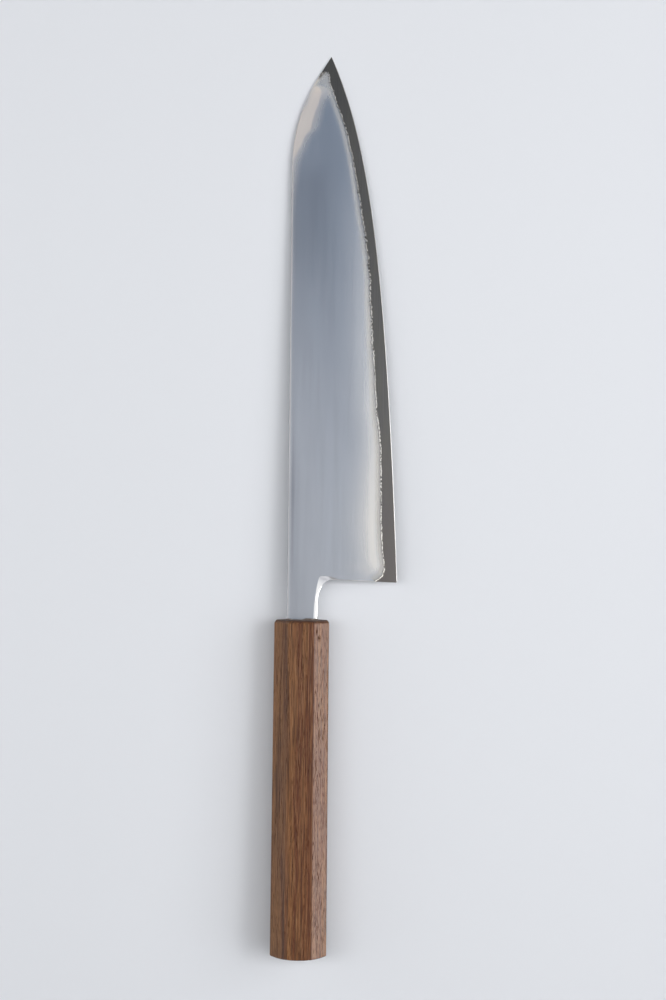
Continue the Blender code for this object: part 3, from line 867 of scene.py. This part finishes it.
MOST = (0.3, 0.7)  # most of a noise's values lie between these
FACE_DARK = (0.510, 0.517, 0.534)
FACE_LIGHT = (0.537, 0.545, 0.562)
FACE_CLOUD = (0.56, 0.56, 0.575)
# Painted shade beside the spine: its dim tone and how strongly it is mixed in.
SPINE_SHADE_TONE = (0.18, 0.185, 0.21)
SPINE_SHADE_STRENGTH = 0.32
# Pale tones of the painted highlight beside the weld line, warmer by the heel.
HAZE_AND_HIGHLIGHT = (0.88, 0.87, 0.85)
HAZE_AND_HIGHLIGHT_BY_HEEL = (0.91, 0.855, 0.77)
PATCH_TONE = (0.518, 0.478, 0.452)
PATCH_STRENGTH = 0.9
PATCH_BORDER = (-0.9, 1.1)
PATCH_CLOUD = (-0.8, 0.8)
PATCH_HALO = (-5.0, 0.3, 0.0, 0.38)
SEAM_TONE = (0.24, 0.225, 0.21)
SEAM_PLACE = (0.75, 1.1, 1.0, 0.0)
WORN = (0.11, 0.105, 0.10)
WARMTH = (1.065, 1.0, 0.905)  # beside the weld line and on the tip
WARM_PLACE = (1.2, 4.2, 1.0, 0.0)
WARM_TIP = (0.925, 0.965)


def patch_mask(n, cloud):
    """The tip's patch, with a clouded border and a faint halo."""
    patch = n.attribute("patch")
    border = n.plus(patch, n.ramp(cloud, *MOST, *PATCH_CLOUD))
    return n.larger(n.ramp(border, *PATCH_BORDER), n.ramp(patch, *PATCH_HALO))


def beside_line(n, tone, grain):
    """The dark grains beside the weld line, the rubbed end, and the warmer steel round both."""
    line_distance = n.attribute("line_distance")
    seam = n.ramp(line_distance, *SEAM_PLACE)
    tone = n.blend(n.times(seam, n.ramp(grain, 0.47, 0.60, 0.12, 0.9)), tone, SEAM_TONE)
    tone = n.blend(n.times(n.attribute("worn"), n.ramp(grain, 0.42, 0.56, 0.35, 1.0)), tone, WORN)
    warm = n.larger(n.ramp(line_distance, *WARM_PLACE), n.along(*WARM_TIP))
    return n.blend(warm, tone, WARMTH, "MULTIPLY")


def cladding_look():
    """Satin stainless steel, faint lines, hazed with a painted highlight by the weld line, a matte tip."""
    material, n = new_look("satin_cladding")
    fine = n.noise((30.0, 0.16, 30.0), 3.0, 0.6)
    broad = n.noise((60.0, 3.2, 30.0))
    cloud = n.noise((17.0, 11.0, 20.0))
    grain = n.noise((0.9, 0.5, 0.5), 2.0, 0.6)
    haze_and_highlight = n.attribute("haze_and_highlight")
    mask = patch_mask(n, cloud)
    # Painted highlight: the band beside the weld line is lightened towards a pale tone.
    pale = n.blend(n.along(0.12, 0.6), HAZE_AND_HIGHLIGHT_BY_HEEL, HAZE_AND_HIGHLIGHT)
    tone = n.blend(n.ramp(broad, *MOST), FACE_DARK, FACE_LIGHT)
    tone = n.blend(n.ramp(cloud, 0.35, 0.7, 0.0, 0.3), tone, FACE_CLOUD)
    # Painted shade: the face darkens towards a dim tone beside the spine.
    tone = n.blend(n.times(n.attribute("spine_shade"), SPINE_SHADE_STRENGTH), tone, SPINE_SHADE_TONE)
    tone = n.blend(n.times(haze_and_highlight, n.ramp(broad, *MOST, 0.94, 1.0)), tone, pale)
    tone = n.blend(n.times(mask, PATCH_STRENGTH), tone, PATCH_TONE)
    tone = beside_line(n, tone, grain)
    rough = n.plus(n.ramp(fine, *MOST, 0.22, 0.24), n.times(haze_and_highlight, 0.09))
    rough = n.plus(rough, n.times(mask, 0.18))
    metal = n.minus(n.minus(1.0, n.times(mask, 0.4)), n.times(haze_and_highlight, 0.22))
    scratch = n.bump(fine, 0.0007, 0.22)
    n.give(Base_Color=tone, Metallic=metal, Roughness=rough, Normal=n.bump(grain, 0.0012, 0.4, scratch))
    return material


def polished_look():
    """The bright sides of the cladding, at the spine, the neck, the choil and the heel."""
    material, n = new_look("polished_cladding")
    lines = n.noise((12.0, 0.2, 0.2))
    tone = n.blend(lines, (0.62, 0.625, 0.63), (0.70, 0.70, 0.70))
    n.give(Base_Color=tone, Metallic=1.0, Roughness=n.ramp(lines, *MOST, 0.16, 0.24))
    n.give(Normal=n.bump(lines, 0.002, 0.5))
    return material


def line_look():
    """The grainy weld line: a chain of bright specks, greyer towards the tip."""
    material, n = new_look("weld_line")
    grain = n.noise((0.75, 0.5, 0.5), 1.0, 0.5)
    speck = n.ramp(grain, 0.44, 0.49)
    bright = n.blend(n.along(0.30, 0.75), (0.99, 0.95, 0.87), (0.52, 0.49, 0.45))
    tone = n.blend(speck, (0.035, 0.032, 0.03), bright)
    n.give(Base_Color=tone, Metallic=0.8, Roughness=n.ramp(speck, 0.0, 1.0, 0.6, 0.3))
    n.give(Normal=n.bump(grain, 0.14, 0.9))
    return material


def core_look():
    """Dull dark carbon steel with faint lines, brownish by the heel."""
    material, n = new_look("dark_core")
    lines = n.noise((26.0, 0.3, 22.0), 3.0, 0.6)
    cloud = n.noise((13.0, 4.0, 14.0))
    speck = n.noise((0.5, 0.4, 0.5), 2.0, 0.7)
    tone = n.blend(n.ramp(lines, *MOST), (0.135, 0.132, 0.127), (0.165, 0.161, 0.155))
    tone = n.blend(n.ramp(cloud, 0.42, 0.62, 0.0, 0.6), tone, (0.158, 0.155, 0.138))
    brown = n.along(0.12, 0.42, 0.6, 0.0)
    tone = n.blend(brown, tone, (0.175, 0.155, 0.148))
    tone = n.blend(n.ramp(speck, 0.66, 0.76, 0.0, 0.3), tone, (0.28, 0.27, 0.26))
    tone = n.blend(n.along(0.30, 0.80, 0.0, 0.30), tone, (0.02, 0.02, 0.022))
    tone = n.blend(n.along(0.80, 1.00, 0.0, 0.28), tone, (0.02, 0.02, 0.022))
    n.give(Base_Color=tone, Metallic=1.0, Roughness=n.ramp(speck, *MOST, 0.42, 0.5))
    n.give(Normal=n.bump(lines, 0.0015, 0.4))
    return material


def bevel_look():
    """The thin honed bevel, with a painted highlight that brightens it towards the heel."""
    material, n = new_look("honed_bevel")
    lines = n.noise((0.6, 0.1, 0.1))
    # Painted highlight: a pale tone by the heel, darker towards the tip.
    bright = n.blend(n.along(0.20, 0.75), (0.80, 0.80, 0.80), (0.26, 0.26, 0.26))
    tone = n.blend(n.ramp(lines, *MOST, 0.0, 0.25), bright, (0.55, 0.55, 0.55))
    n.give(Base_Color=tone, Metallic=1.0, Roughness=n.ramp(lines, *MOST, 0.34, 0.44))
    n.give(Normal=n.bump(lines, 0.001, 0.4))
    return material


RED_BROWN = (0.116, 0.037, 0.011)
GOLD_BROWN = (0.190, 0.080, 0.024)
PURPLE_BROWN = (0.108, 0.045, 0.023)
DARK_STREAK = (0.030, 0.009, 0.004)
PALE_STREAK = (0.29, 0.150, 0.070)
PORE = (0.022, 0.008, 0.004)
END_GRAIN = (0.030, 0.012, 0.007)
# Painted light: the tone that lightens the left facets.
LEFT_FACET_PAINTED_LIGHT = (0.265, 0.125, 0.052)
GOLD_BANDS = ((4.4, 1.0, 3.0), (11.3, 1.9, 3.6))  # middle above the axis, half width, where faded
PURPLE_BAND = (7.0, 0.6, 2.1)
RIGHT_FACETS = (-0.35, -0.60)  # told by their normals
LEFT_FACETS = (0.35, 0.60)
END_FACES = (0.45, 0.95)


def band(n, height, middle, full, gone):
    return n.ramp(n.size(n.minus(height, middle)), full, gone, 1.0, 0.0)


def walnut_bands(n, left):
    """The wood's broad bands: red-brown, gold and purple, and painted lighter on the left facets."""
    height = n.minus(n.parts(n.place((1.0, 1.0, 1.0)))[1], ORIGIN.y / MM)
    height = n.plus(height, n.ramp(n.noise((45.0, 6.0, 6.0), 1.0), *MOST, -1.0, 1.0))
    gold = n.larger(band(n, height, *GOLD_BANDS[0]), band(n, height, *GOLD_BANDS[1]))
    zone = n.ramp(n.noise((85.0, 2.6, 2.6), 2.0, 0.5, 0.4), 0.48, 0.64, 0.0, 0.7)
    tone = n.blend(n.larger(n.times(gold, 0.85), zone), RED_BROWN, GOLD_BROWN)
    # Painted light: the left facets, told by their normals, are lightened.
    tone = n.blend(n.times(left, 0.7), tone, LEFT_FACET_PAINTED_LIGHT)
    purple = n.noise((40.0, 3.0, 3.0), 2.0, 0.5, 0.3, (3.7, 1.3, 8.1))
    purple = n.times(band(n, height, *PURPLE_BAND), n.ramp(purple, 0.38, 0.60, 0.3, 1.0))
    return n.blend(purple, tone, PURPLE_BROWN)


def walnut_streaks(n, tone, side, streak, fibre):
    """Dark and pale streaks and fibres, calmer on the right facets."""
    calm = n.minus(1.0, n.times(side, 0.45))
    second = n.noise((16.0, 0.38, 0.38), 2.0, 0.55, 0.0, (1.9, 5.2, 2.2))
    tone = n.blend(n.times(n.ramp(streak, 0.36, 0.50, 0.70, 0.0), calm), tone, DARK_STREAK)
    tone = n.blend(n.times(n.ramp(second, 0.52, 0.64, 0.0, 0.55), calm), tone, PALE_STREAK)
    tone = n.blend(n.times(n.ramp(second, 0.36, 0.47, 0.60, 0.0), calm), tone, DARK_STREAK)
    return n.blend(n.ramp(fibre, 0.36, 0.50, 0.50, 0.0), tone, DARK_STREAK)


def walnut_pores(n, side):
    """Short pores in crowds, and more of them on the right facets."""
    pore = n.noise((3.1, 0.20, 0.20), 0.0, 0.5, 0.0, (6.4, 2.8, 0.7))
    crowd = n.ramp(n.noise((22.0, 1.6, 1.6), 1.0), 0.35, 0.6, 0.15, 0.6)
    return n.times(n.ramp(pore, 0.60, 0.66), n.plus(crowd, n.times(side, 0.5), True))


def walnut_look():
    """Walnut: bands and streaks along the handle, short pores, and dark end grain."""
    material, n = new_look("walnut")
    ahead, across = n.parts(n.add("NewGeometry").outputs["Normal"])[:2]
    side = n.ramp(across, *RIGHT_FACETS)
    streak = n.noise((70.0, 0.8, 0.8), 3.0, 0.6)
    fibre = n.noise((9.0, 0.24, 0.24), 2.0, 0.6)
    hole = walnut_pores(n, side)
    end = n.ramp(n.size(ahead), *END_FACES)
    tone = walnut_bands(n, n.ramp(across, *LEFT_FACETS))
    tone = walnut_streaks(n, tone, side, streak, fibre)
    tone = n.blend(n.times(hole, 0.78), tone, PORE)
    tone = n.blend(n.times(end, 0.65), tone, END_GRAIN)
    rough = n.plus(n.ramp(fibre, *MOST, 0.30, 0.38), n.times(end, 0.3))
    wood = n.minus(1.0, hole)
    ridged = n.bump(streak, 0.012, 0.4, n.bump(fibre, 0.006, 0.4, n.bump(wood, 0.02, 0.5)))
    n.give(Base_Color=tone, Roughness=rough, Specular_IOR_Level=n.times(wood, 0.36), Normal=ridged)
    return material


def bead_look():
    """Grey-brown sealant, smeared and a little shiny."""
    material, n = new_look("sealant_bead")
    lumps = n.noise((0.9, 0.9, 0.9))
    tone = n.blend(n.ramp(lumps, 0.35, 0.65), (0.085, 0.060, 0.048), (0.20, 0.165, 0.145))
    n.give(Base_Color=tone, Roughness=n.ramp(lumps, *MOST, 0.42, 0.6), Normal=n.bump(lumps, 0.06, 0.6))
    return material


def resin_look():
    """Cast resin round the tang, seen only where the handle is cut open."""
    material, n = new_look("resin")
    cloud = n.noise((4.0, 4.0, 4.0))
    n.give(Base_Color=n.blend(cloud, (0.42, 0.30, 0.16), (0.50, 0.38, 0.22)), Roughness=0.35)
    n.give(Normal=n.bump(cloud, 0.02, 0.3))
    return material


# Camera, measured off the photograph.
PICTURE_WIDTH, PICTURE_HEIGHT = 666, 1000
PIXELS_PER_MM = 2.194  # at the blade's middle plane
HANDLE_FRONT_PIXEL = (301.85, 620.0)
AXIS_LEAN = 0.0115  # the knife's axis leans this much to the right of upright
CAMERA_HEIGHT = 950.0
SENSOR = 36.0
CLIP_START = 0.01


def set_camera():
    """A camera straight above, so that the knife lies in the picture as in the photo."""
    right_px = PICTURE_WIDTH / 2 - HANDLE_FRONT_PIXEL[0]
    up_px = HANDLE_FRONT_PIXEL[1] - PICTURE_HEIGHT / 2
    upright = math.sqrt(1 - AXIS_LEAN**2)
    right = Vector((AXIS_LEAN, -upright, 0.0))
    up = Vector((upright, AXIS_LEAN, 0.0))
    aim = ORIGIN + (right * right_px + up * up_px) * (MM / PIXELS_PER_MM)
    axes = Matrix((right, up, right.cross(up))).transposed().to_4x4()
    camera = bpy.data.cameras.new("camera")
    camera.sensor_width = SENSOR
    camera.lens = SENSOR * CAMERA_HEIGHT * PIXELS_PER_MM / PICTURE_HEIGHT
    camera.clip_start = CLIP_START
    holder = add_object("camera", camera)
    holder.matrix_world = Matrix.Translation(aim) @ axes @ Matrix.Translation((0, 0, CAMERA_HEIGHT * MM))
    bpy.context.scene.camera = holder


TIP_FALL = 9.8  # from the tip's underside down to the handle's rest face
PITCH = math.atan2(TIP_FALL, TIP_X)  # the knife rests on its tip and on the front of the handle
FLOOR_COLOUR = (0.700, 0.730, 0.790)
FLOOR_HALF_SIZE = 3.0
FLOOR_GAP = 0.0001
FLOOR_FADE = (1.0, 2.4)  # between these distances, past the lamps, it turns as pale as the horizon
FLOOR_GLOW = 0.80
HORIZON = (0.90, 0.91, 0.93)


def set_floor():
    """A plain pale floor, pitched so that the knife rests on it."""
    shape = bmesh.new()
    bmesh.ops.create_grid(shape, x_segments=1, y_segments=1, size=FLOOR_HALF_SIZE)
    mesh = bpy.data.meshes.new("floor")
    shape.to_mesh(mesh)
    shape.free()
    floor = add_object("floor", mesh)
    pivot = Matrix.Translation((ORIGIN.x - MM, ORIGIN.y, -FLOOR_GAP))
    floor.matrix_world = pivot @ Matrix.Rotation(-PITCH, 4, "Y")
    material, n = new_look("floor")
    n.give(Base_Color=FLOOR_COLOUR, Roughness=0.9, Specular_IOR_Level=0.2)
    away = n.add("VectorMath", operation="LENGTH")
    n.link(n.place((1 / MM, 1 / MM, 1 / MM)), away.inputs[0])
    seen = n.add("LightPath").outputs["Is Camera Ray"]
    fade = n.times(n.ramp(away.outputs["Value"], *FLOOR_FADE), seen)
    n.give(Emission_Color=HORIZON, Emission_Strength=n.times(fade, FLOOR_GLOW))
    mesh.materials.append(material)


OVERHEAD_BACK = (0.80, 0.86, 0.95)
OVERHEAD_AHEAD = (0.135, 0.205, 0.322)
OVERHEAD_TIP = (0.24, 0.314, 0.438)
OVERHEAD_HANDLE = (0.24, 0.21, 0.18)
BEHIND = (1.30, 1.30, 1.34)
SPINE_GLOW = (0.86, 0.83, 0.81)
RIGHT_SIDE = (1.62, 1.61, 1.58)
LEFT_SIDE = (0.92, 0.92, 0.94)
RIGHT_WINDOW = (10.6, 10.2, 9.8)
LAMP_COLOUR = (1.0, 0.985, 0.96)
LAMPS = (  # place, size, power
    ((0.05, 0.0, 1.4), (2.8, 0.5), 20.5),
    ((0.05, -1.3, 1.2), (1.6, 1.2), 18.0),
    ((0.05, 1.4, 0.75), (1.6, 0.8), 4.0),
)

# Where each part of the studio begins and is complete, told by the direction's components.
AHEAD_TURN, TIP_TURN = (-0.005, 0.138), (0.15, 0.19)
GLOW_START, GLOW_END, GLOW_SIDE = (0.015, 0.05), (0.115, 0.075), (-0.04, 0.012)
GLOW_STRENGTH = 0.55
HANDLE_TURN, HANDLE_SIDES = (-0.075, -0.14), (0.30, 0.14)
BEHIND_TURN, BEHIND_LEAN = (-0.26, -0.38), 0.8
LEFT_TURN, RIGHT_TURN = (0.04, 0.28), (-0.12, -0.62)
HORIZON_TOP = (0.1, 0.75)
WINDOW_SIDE, WINDOW_TOP = (-0.72, -0.92), (0.46, 0.20)


def set_world():
    """A soft studio: dim overhead and ahead, pale at the sides, and a wide window low on the right."""
    world = bpy.data.worlds.new("studio")
    bpy.context.scene.world = world
    world.use_nodes = True
    n = Nodes(world.node_tree)
    ahead, across, up = n.parts(n.add("TexCoord").outputs["Generated"])
    glow = n.times(n.ramp(ahead, *GLOW_START), n.ramp(ahead, *GLOW_END))
    glow = n.times(n.times(glow, n.ramp(across, *GLOW_SIDE)), GLOW_STRENGTH)
    layers = (
        (glow, SPINE_GLOW),
        (n.ramp(ahead, *TIP_TURN), OVERHEAD_TIP),
        (n.times(n.ramp(ahead, *HANDLE_TURN), n.ramp(n.size(across), *HANDLE_SIDES)), OVERHEAD_HANDLE),
        (n.ramp(n.plus(ahead, n.times(across, BEHIND_LEAN)), *BEHIND_TURN), BEHIND),
        (n.ramp(across, *LEFT_TURN), LEFT_SIDE),
        (n.ramp(across, *RIGHT_TURN), RIGHT_SIDE),
    )
    colour = n.blend(n.ramp(ahead, *AHEAD_TURN), OVERHEAD_BACK, OVERHEAD_AHEAD)
    for share, tone in layers:
        colour = n.blend(share, colour, tone)
    colour = n.blend(n.ramp(up, *HORIZON_TOP), HORIZON, colour)
    window = n.times(n.ramp(across, *WINDOW_SIDE), n.ramp(up, *WINDOW_TOP))
    colour = n.blend(window, colour, RIGHT_WINDOW)
    n.link(colour, world.node_tree.nodes["Background"].inputs["Color"])
    world.cycles_visibility.diffuse = False


def set_lamps():
    """Softboxes above, on the right and on the left. The steel mirrors the world in their place."""
    for index, (place, size, power) in enumerate(LAMPS):
        lamp = bpy.data.lights.new(f"lamp_{index}", "AREA")
        lamp.shape = "RECTANGLE"
        lamp.size, lamp.size_y = size
        lamp.energy = power
        lamp.color = LAMP_COLOUR
        holder = add_object(lamp.name, lamp)
        holder.visible_glossy = False
        turn = Vector(place).to_track_quat("Z", "Y").to_matrix().to_4x4()
        holder.matrix_world = Matrix.Translation(place) @ turn


def stand_for(piece, node):
    """The piece rides with the knife, in place of a CAD node."""
    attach(piece, "root")
    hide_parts(node)


# Name, side, where in the noise its jags are taken, and the CAD node that it stands for.
CLADDINGS = (
    ("cladding_top", 1, 3.1, "cladding_upper"),
    ("cladding_under", -1, 8.7, "cladding_lower"),
)


def build_knife():
    steel = [cladding_look(), line_look(), polished_look()]
    for name, side, seed, node in CLADDINGS:
        stand_for(build_cladding(name, side, seed, steel), node)
    stand_for(build_core([core_look(), bevel_look()]), "core_steel")
    stand_for(build_bead(bead_look()), "mouth_seal")
    for node, look in (("handle_body", walnut_look()), ("tang_bedding", resin_look())):
        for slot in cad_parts[node].material_slots:
            slot.material = look


build_knife()
set_floor()
set_world()
set_lamps()
set_camera()
bpy.context.scene.view_settings.view_transform = "Standard"
